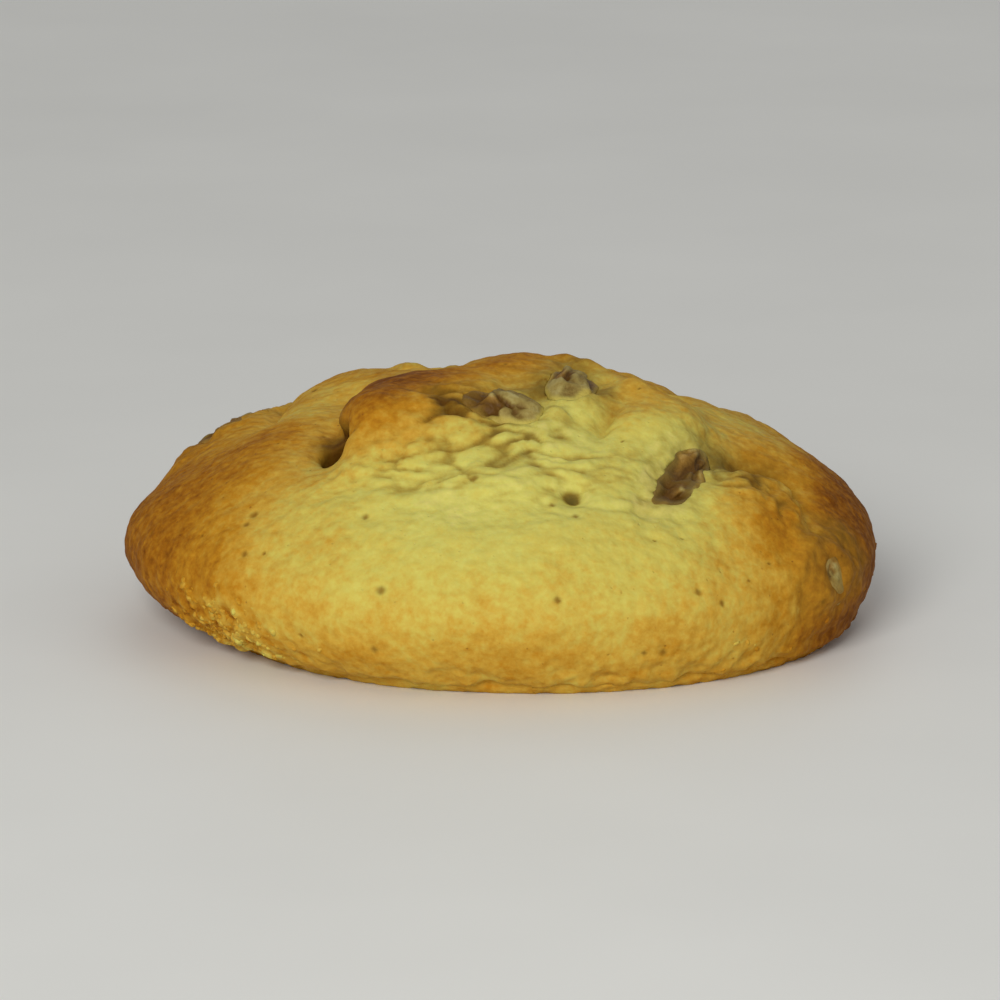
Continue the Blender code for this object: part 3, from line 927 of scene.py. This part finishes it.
def add_piece(name, mesh, material, replaces=None):
    """Puts a mesh in the scene as a piece of the cookie."""
    piece = bpy.data.objects.new(name, mesh)
    bpy.context.scene.collection.objects.link(piece)
    mesh.materials.clear()
    mesh.materials.append(material)
    mesh.polygons.foreach_set("material_index", np.zeros(len(mesh.polygons), int))
    mesh.shade_smooth()
    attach(piece, "root")
    if replaces:
        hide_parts(replaces)


def furrows(raisin, local, seed):
    """Depth of a raisin's lengthwise furrows, as a share of its radius."""
    depth = np.zeros(len(local))
    for share, across, starts in FURROWS:
        noise = gradient_noise(local / (raisin.stretch, 1.0, 1.0), across, seed)
        depth += share * smooth_step(starts, 1, 1 - np.abs(noise))
    return depth


def dough_film(local, cling, hollow, seed):
    """How far a film of dough covers a raisin at each point, from 0 to 1."""
    film = noises(local, [(*patch, seed + more) for patch, more in zip(FILM_PATCHES, FILM_SEEDS)])
    film += FILM_WHERE_CLINGING * (cling - 0.5) + FILM_OFF_FURROWS * (FURROW_MEAN - hollow)
    return smooth_step(-FILM_EDGE, FILM_EDGE, film)


def make_raisin(raisin, material, skin, seed):
    """A shrivelled raisin with furrows along it, and dough clinging to it and round its rim."""
    centre, axes = raisin_axes(raisin)
    mesh = raisin_oval(raisin.name + "_skin", RAISIN_FACES, raisin.size)
    local = get_points(mesh)
    placed = uneven(local @ axes.T + centre) + skin.offset
    nearest = [skin.tree.find(point)[1] for point in placed]
    clear = np.sum((placed - skin.points[nearest]) * skin.normals[nearest], axis=1)
    rim = 1 - smooth_step(*RIM_DOUGH, clear + noises(local, [(*RIM_RAGGED, seed + RIM_SEED)]))
    furrow = furrows(raisin, local, seed)
    hollow = furrow / sum(share for share, *_ in FURROWS)
    outer = smooth_step(*TOP_BEGINS, local[:, 2] / (raisin.size[2] / 2))
    cling = clinging(raisin, local)
    film = dough_film(local, cling, hollow, seed) * outer
    shrunk = local * (1 - furrow * (1 - rim) * (1 - FILM_FILLS * film))[:, None]
    size, thicker = FILM_LUMPS
    lumps = 1 + thicker * np.clip(gradient_noise(local, size, seed + FILM_LUMP_SEED), 0, 1)
    shrunk[:, 2] += FILM_THICKNESS * lumps * np.maximum(film, rim * outer)
    set_points(mesh, (uneven(shrunk @ axes.T + centre) + skin.offset) * MM)
    set_level(mesh, "film", film)
    set_level(mesh, "rim", rim * np.clip(cling, 0, 1))
    set_level(mesh, "bake", skin.bake[nearest])
    set_level(mesh, "furrow", hollow)
    add_piece(raisin.name + "_skin", mesh, material, raisin.name)


def cut_pockets(mesh, offset):
    """The dough mesh with a pocket for each raisin."""
    dough = bpy.data.objects.new("dough_uncut", mesh)
    bpy.context.scene.collection.objects.link(dough)
    cutters = bpy.data.collections.new("raisin_pockets")
    bpy.context.scene.collection.children.link(cutters)
    for raisin in RAISINS:
        centre, axes = raisin_axes(raisin)
        oval = raisin_oval(raisin.name + "_pocket", POCKET_FACES, raisin.size, POCKET_GAP)
        placed = uneven(get_points(oval) @ axes.T + centre) + offset
        set_points(oval, placed * MM)
        cutters.objects.link(bpy.data.objects.new(raisin.name + "_pocket", oval))
    cut = dough.modifiers.new("raisin_pockets", "BOOLEAN")
    cut.operation = "DIFFERENCE"
    cut.operand_type = "COLLECTION"
    cut.collection = cutters
    cut.solver = "MANIFOLD"
    carved = bpy.data.meshes.new_from_object(dough.evaluated_get(bpy.context.evaluated_depsgraph_get()))
    bpy.data.objects.remove(dough)
    for cutter in list(cutters.objects):
        bpy.data.objects.remove(cutter)
    bpy.data.collections.remove(cutters)
    return carved


def dough_offset(mesh):
    """How far the dough moves in plan for its box to have its middle over the origin."""
    low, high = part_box("dough")
    points = get_points(mesh)
    middle = (points.min(axis=0) + points.max(axis=0)) / 2
    wanted = (np.array(low) + np.array(high)) / 2 / MM
    return np.array((wanted[0] - middle[0], wanted[1] - middle[1], 0.0))


def make_dough(material):
    mesh = even_ball("dough_skin", DOUGH_CUTS)
    levels = shape_dough(mesh)
    offset = dough_offset(mesh)
    uncut = get_points(mesh) + offset
    skin = Skin(uncut, get_normals(mesh), levels[:, 0], near_tree(uncut), offset)
    set_points(mesh, uncut * MM)
    carved = cut_pockets(mesh, offset)
    nearest = [skin.tree.find(point)[1] for point in get_points(carved) / MM]
    for column, name in enumerate(("bake", "pinhole", "stain_and_shade")):
        set_level(carved, name, levels[nearest, column])
    add_piece("dough_skin", carved, material, "dough")
    return skin


def make_crumbs(material, skin):
    """Crumbs and flakes of crust clinging to the undercut side, in one mesh."""
    draw = np.random.default_rng(CRUMB_SEED)
    points = skin.points
    likely = crumbliness(points) ** 2
    places = draw.choice(len(points), CRUMBS, replace=False, p=likely / likely.sum())
    heap = bmesh.new()
    browns = []
    for place in places:
        size = draw.uniform(*CRUMB_SIZE) ** CRUMB_SIZE_POWER
        flat = Vector((1, draw.uniform(*CRUMB_WIDTH), draw.uniform(*CRUMB_FLATNESS))) * size / 2
        upright = Vector(skin.normals[place]).to_track_quat("Z", "Y").to_matrix()
        turn = upright @ Matrix.Rotation(draw.uniform(0, 2 * math.pi), 3, "Z")
        seat = Vector(points[place] - CRUMB_SUNK * flat.z * skin.normals[place])
        crumb = bmesh.ops.create_icosphere(heap, subdivisions=2, radius=1.0)["verts"]
        seed = int(draw.integers(1000))
        ball = np.array([corner.co for corner in crumb])
        rough = 1 + noises(ball, [(*layer, seed + more) for more, layer in enumerate(CRUMB_ROUGH)])
        for corner, swell in zip(crumb, rough):
            spot = turn @ (corner.co * swell * flat) + seat
            corner.co = Vector((spot.x, spot.y, max(spot.z, CRUMB_CLEAR)))
        browns.append(np.full(len(crumb), skin.bake[place] + draw.uniform(*CRUMB_BROWNER)))
    mesh = bpy.data.meshes.new("crumbs")
    heap.to_mesh(mesh)
    heap.free()
    set_points(mesh, get_points(mesh) * MM)
    set_level(mesh, "bake", np.concatenate(browns))
    add_piece("crumbs", mesh, material)


def colour(red, green, blue):
    """A display colour from 0 to 255 as the linear colour that nodes take."""
    shares = np.array((red, green, blue)) / 255
    linear = np.where(shares <= 0.04045, shares / 12.92, ((shares + 0.055) / 1.055) ** 2.4)
    return (*linear, 1.0)


def add_node(tree, kind, inputs=None, **settings):
    """Adds a node. Each of its inputs is given as a value, or as the output that feeds it."""
    node = tree.nodes.new(kind)
    for name, value in settings.items():
        setattr(node, name, value)
    for name, value in (inputs or {}).items():
        if isinstance(value, bpy.types.NodeSocket):
            tree.links.new(value, node.inputs[name])
        else:
            node.inputs[name].default_value = value
    return node


def level_of(tree, name):
    """The number that the mesh stores under this name."""
    return add_node(tree, "ShaderNodeAttribute", attribute_name=name).outputs["Fac"]


def noise_of(tree, place, size, detail, roughness):
    """Cloudy noise from 0 to 1, with blotches about `size` millimetres across."""
    inputs = {"Vector": place, "Scale": 1 / (size * MM), "Detail": detail, "Roughness": roughness}
    return add_node(tree, "ShaderNodeTexNoise", inputs).outputs["Fac"]


def sum_of(tree, *terms):
    """Adds up pairs of an output and a factor, and plain numbers."""
    total = 0.0
    for term in terms:
        if isinstance(term, tuple):
            inputs = {0: term[0], 1: term[1], 2: total}
            total = add_node(tree, "ShaderNodeMath", inputs, operation="MULTIPLY_ADD").outputs[0]
        else:
            total = add_node(tree, "ShaderNodeMath", {0: total, 1: term}, operation="ADD").outputs[0]
    return total


def varied(tree, value, *noises_with_amounts):
    """The value made uneven by noises. Half of their amounts is taken off, as a noise is 0.5 on average."""
    taken_off = sum(amount for _, amount in noises_with_amounts) / 2
    return sum_of(tree, (value, 1.0), *noises_with_amounts, -taken_off)


def stretched(tree, value, low, high, to_low=0.0, to_high=1.0):
    """The value's range from low to high stretched smoothly over another range."""
    inputs = {"Value": value, "From Min": low, "From Max": high, "To Min": to_low, "To Max": to_high}
    return add_node(tree, "ShaderNodeMapRange", inputs, interpolation_type="SMOOTHSTEP").outputs["Result"]


def ramp_of(tree, value, stops):
    """Colours that run from one stop to the next as the value goes up."""
    ramp = add_node(tree, "ShaderNodeValToRGB", {"Fac": value})
    elements = ramp.color_ramp.elements
    elements[0].position = stops[0][0]
    elements[0].color = colour(*stops[0][1])
    elements[1].position = stops[-1][0]
    elements[1].color = colour(*stops[-1][1])
    for position, shade in stops[1:-1]:
        elements.new(position).color = colour(*shade)
    return ramp.outputs["Color"]


def mixed(tree, share, first, second):
    inputs = {"Factor": share, FIRST_COLOUR: first, SECOND_COLOUR: second}
    return add_node(tree, "ShaderNodeMix", inputs, data_type="RGBA").outputs[MIXED_COLOUR]


def finished(tree, shade, roughness, height, depth, constants):
    """Ends a material in one shader, with fine relief `depth` millimetres deep."""
    bump = add_node(tree, "ShaderNodeBump", {"Height": height, "Distance": depth * MM, "Strength": 1.0})
    inputs = {"Base Color": shade, "Roughness": roughness, "Normal": bump.outputs["Normal"], **constants}
    shader = add_node(tree, "ShaderNodeBsdfPrincipled", inputs)
    add_node(tree, "ShaderNodeOutputMaterial", {"Surface": shader.outputs["BSDF"]})


def blank_material(name):
    """A material with an empty node tree, and the place on the object that its textures go by."""
    material = bpy.data.materials.new(name)
    material.use_nodes = True
    tree = material.node_tree
    tree.nodes.clear()
    return material, tree, add_node(tree, "ShaderNodeTexCoord").outputs["Object"]


def specks_of(tree, place):
    """1 in the small specks of the crust, and 0 between them."""
    inputs = {"Vector": place, "Scale": 1 / (SPECK_SPACING * MM)}
    cells = add_node(tree, "ShaderNodeTexVoronoi", inputs)
    return stretched(tree, cells.outputs["Distance"], *SPECK_EDGE)


def crust_material():
    """Mottled baked crust, browner and duller where the mesh says so, partly as painted shade."""
    material, tree, place = blank_material("baked_crust")
    mottle = noise_of(tree, place, *MOTTLE)
    flecks = noise_of(tree, place, *FLECKS)
    grain = noise_of(tree, place, *GRAIN)
    blotches = noise_of(tree, place, *BLOTCHES)
    bake = level_of(tree, "bake")
    brown = varied(tree, bake, (mottle, 0.2), (flecks, 0.3), (grain, 0.12), (blotches, 0.14))
    shade = ramp_of(tree, brown, CRUST_COLOURS)
    # The dull level is partly stains and partly painted shade in creases, wrinkles, folds and holes
    stain_and_shade = varied(tree, level_of(tree, "stain_and_shade"), (mottle, 0.3), (flecks, 0.2))
    dull_and_shade = ramp_of(tree, stain_and_shade, STAIN_AND_SHADE_COLOURS)
    shade = mixed(tree, stretched(tree, stain_and_shade, *STAIN_AND_SHADE_COVER), shade, dull_and_shade)
    specks = specks_of(tree, place)
    browner_and_shaded = stretched(tree, bake, *SPECKS_BY_BAKE)
    speckled = add_node(tree, "ShaderNodeMath", {0: specks, 1: browner_and_shaded}, operation="MULTIPLY").outputs[0]
    shade = mixed(tree, speckled, shade, colour(*SPECK_COLOUR))
    # Small holes painted darker: painted shade
    hole = stretched(tree, level_of(tree, "pinhole"), *HOLE_COVER)
    shade = mixed(tree, hole, shade, colour(*HOLE_COLOUR))
    granules = noise_of(tree, place, *GRANULES)
    height = sum_of(tree, (granules, 1.1), (grain, 0.4), (specks, -0.3))
    roughness = stretched(tree, mottle, *CRUST_ROUGHNESS)
    finished(tree, shade, roughness, height, FINEST_RELIEF, CRUST_CONSTANTS)
    return material


def fruit_material():
    """Brown raisin skin, with a film of dough over it and crust at its rim where the mesh says so, painted
    darker in its furrows and lighter on its ridges as painted shade and a painted highlight.
    """
    material, tree, place = blank_material("raisin_fruit")
    mottle = noise_of(tree, place, *FRUIT_MOTTLE)
    grain = noise_of(tree, place, *FRUIT_GRAIN)
    furrow = level_of(tree, "furrow")
    film = level_of(tree, "film")
    # Darker in the furrows and lighter on the ridges: partly the raisin's own tones, partly painted shade and
    # a painted highlight
    depth = sum_of(tree, (furrow, -0.8), (mottle, 0.6), (grain, 0.15), 0.25)
    shade = ramp_of(tree, depth, FRUIT_COLOURS)
    coat = ramp_of(tree, sum_of(tree, (mottle, 0.7), (grain, 0.2), (furrow, -0.3), 0.15), FILM_COLOURS)
    cover = sum_of(tree, (film, 1.0), (mottle, 0.4), (grain, 0.2), (furrow, -0.35), -0.15)
    cover = stretched(tree, cover, *FILM_COVER)
    shade = mixed(tree, cover, shade, coat)
    crust = ramp_of(tree, varied(tree, level_of(tree, "bake"), (mottle, 0.16)), CRUST_COLOURS)
    crust = mixed(tree, RIM_DULLER, crust, colour(*STAIN_AND_SHADE_COLOURS[0][1]))
    shade = mixed(tree, level_of(tree, "rim"), shade, crust)
    roughness = stretched(tree, cover, *FRUIT_ROUGHNESS)
    height = sum_of(tree, (grain, 0.6), (mottle, 0.6))
    finished(tree, shade, roughness, height, FINEST_RELIEF, FRUIT_CONSTANTS)
    return material


def make_stage():
    """A plain pale floor."""
    material, tree, place = blank_material("pale_floor")
    shade = ramp_of(tree, noise_of(tree, place, *FLOOR_CLOUDS), FLOOR_COLOURS)
    finished(tree, shade, FLOOR_ROUGHNESS, 0.5, 0.0, {})
    sheet = bmesh.new()
    bmesh.ops.create_grid(sheet, size=FLOOR_SIZE / 2 * MM)
    mesh = bpy.data.meshes.new("floor")
    sheet.to_mesh(mesh)
    sheet.free()
    mesh.materials.append(material)
    floor = bpy.data.objects.new("floor", mesh)
    bpy.context.scene.collection.objects.link(floor)


def aimed(thing, place, target):
    """Puts a lamp or camera at a place, looking at a target."""
    item = bpy.data.objects.new(thing.name, thing)
    bpy.context.scene.collection.objects.link(item)
    item.location = Vector(place) * MM
    item.rotation_euler = (Vector(target) - Vector(place)).to_track_quat("-Z", "Y").to_euler()
    return item


def make_lights():
    for name, place, size, power, tint in LAMPS:
        lamp = bpy.data.lights.new(name, "AREA")
        lamp.shape = "DISK"
        lamp.size = size * MM
        lamp.energy = power
        lamp.color = tint
        aimed(lamp, place, LOOKED_AT)
    world = bpy.data.worlds.new("studio")
    world.use_nodes = True
    backdrop = world.node_tree.nodes["Background"]
    backdrop.inputs["Color"].default_value = SKY_COLOUR
    backdrop.inputs["Strength"].default_value = SKY_STRENGTH
    bpy.context.scene.world = world
    bpy.context.scene.view_settings.view_transform = "Standard"


def make_camera():
    """The photo's viewing angle: looking along +Y and a little down."""
    down = math.radians(CAMERA_ELEVATION)
    back = np.array((0.0, -math.cos(down), math.sin(down)))
    lens = bpy.data.cameras.new("camera")
    lens.lens = CAMERA_LENS
    nearest, farthest = CAMERA_SEES
    lens.clip_start = nearest * MM
    lens.clip_end = farthest * MM
    bpy.context.scene.camera = aimed(lens, np.array(LOOKED_AT) + CAMERA_DISTANCE * back, LOOKED_AT)


def main():
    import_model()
    make_stage()
    make_lights()
    make_camera()
    crust = crust_material()
    fruit = fruit_material()
    skin = make_dough(crust)
    for seed, raisin in enumerate(RAISINS, FIRST_RAISIN_SEED):
        make_raisin(raisin, fruit, skin, seed)
    make_crumbs(crust, skin)


main()
